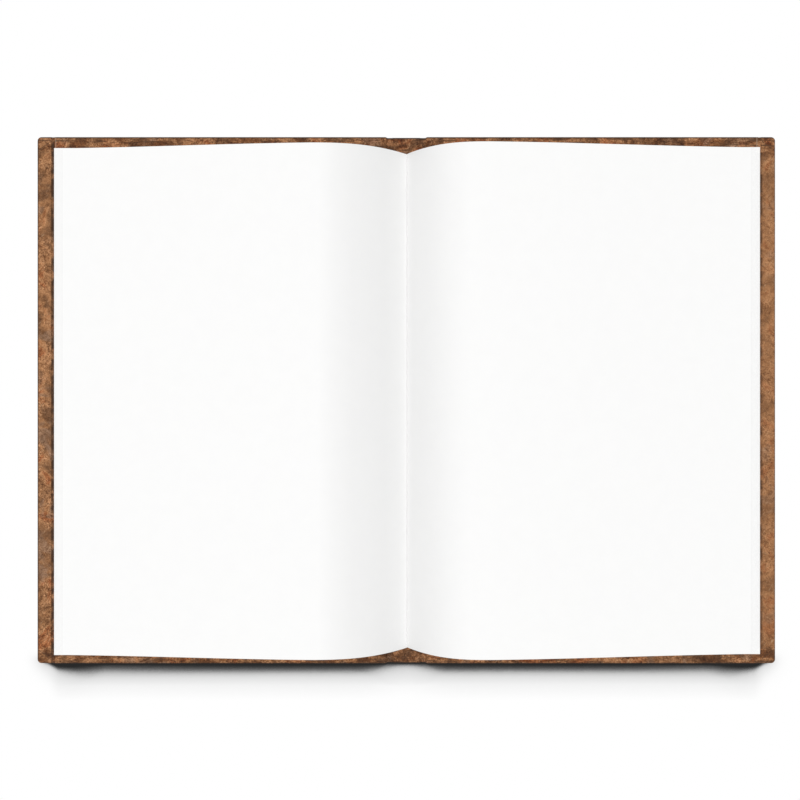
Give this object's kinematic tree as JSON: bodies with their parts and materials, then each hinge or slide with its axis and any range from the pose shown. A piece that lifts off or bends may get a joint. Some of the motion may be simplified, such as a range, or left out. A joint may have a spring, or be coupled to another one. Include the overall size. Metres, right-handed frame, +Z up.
{
  "type": "open hardback notebook",
  "caption": "Case-bound notebook lying open at its middle, with blank leaves and leather-covered boards whose hinged covers fold back.",
  "frame": {"origin": "on the surface that the covers lie on, under the middle of the spine and half-way between head and tail", "axes": "+X to the right-hand page, +Y to the head of the leaves, +Z up out of the open pages"},
  "size_m": [0.3144, 0.2248, 0.0178],
  "materials": {
    "leaves": "matte",
    "endpaper": "matte",
    "cover_leather": "satin",
    "greyboard": "matte",
    "lining_cloth": "matte"
  },
  "bodies": {
    "text_block": {"page_block": "leaves", "front_flyleaf": "endpaper", "back_flyleaf": "endpaper", "spine_lining": "lining_cloth", "spine_stiffener": "greyboard", "spine_leather": "cover_leather"},
    "front_cover": {"front_board": "greyboard", "front_cover_leather": "cover_leather", "front_pastedown": "endpaper"},
    "back_cover": {"back_board": "greyboard", "back_cover_leather": "cover_leather", "back_pastedown": "endpaper"}
  },
  "joints": [
    {"name": "front_cover_hinge", "type": "hinge", "parent": "text_block", "child": "front_cover", "pos_m": [-0.00728, 0, 0.00025], "axis": [0, -1, 0], "range_deg": [0, 90]},
    {"name": "back_cover_hinge", "type": "hinge", "parent": "text_block", "child": "back_cover", "pos_m": [0.00728, 0, 0.00025], "axis": [0, 1, 0], "range_deg": [0, 90]}
  ]
}
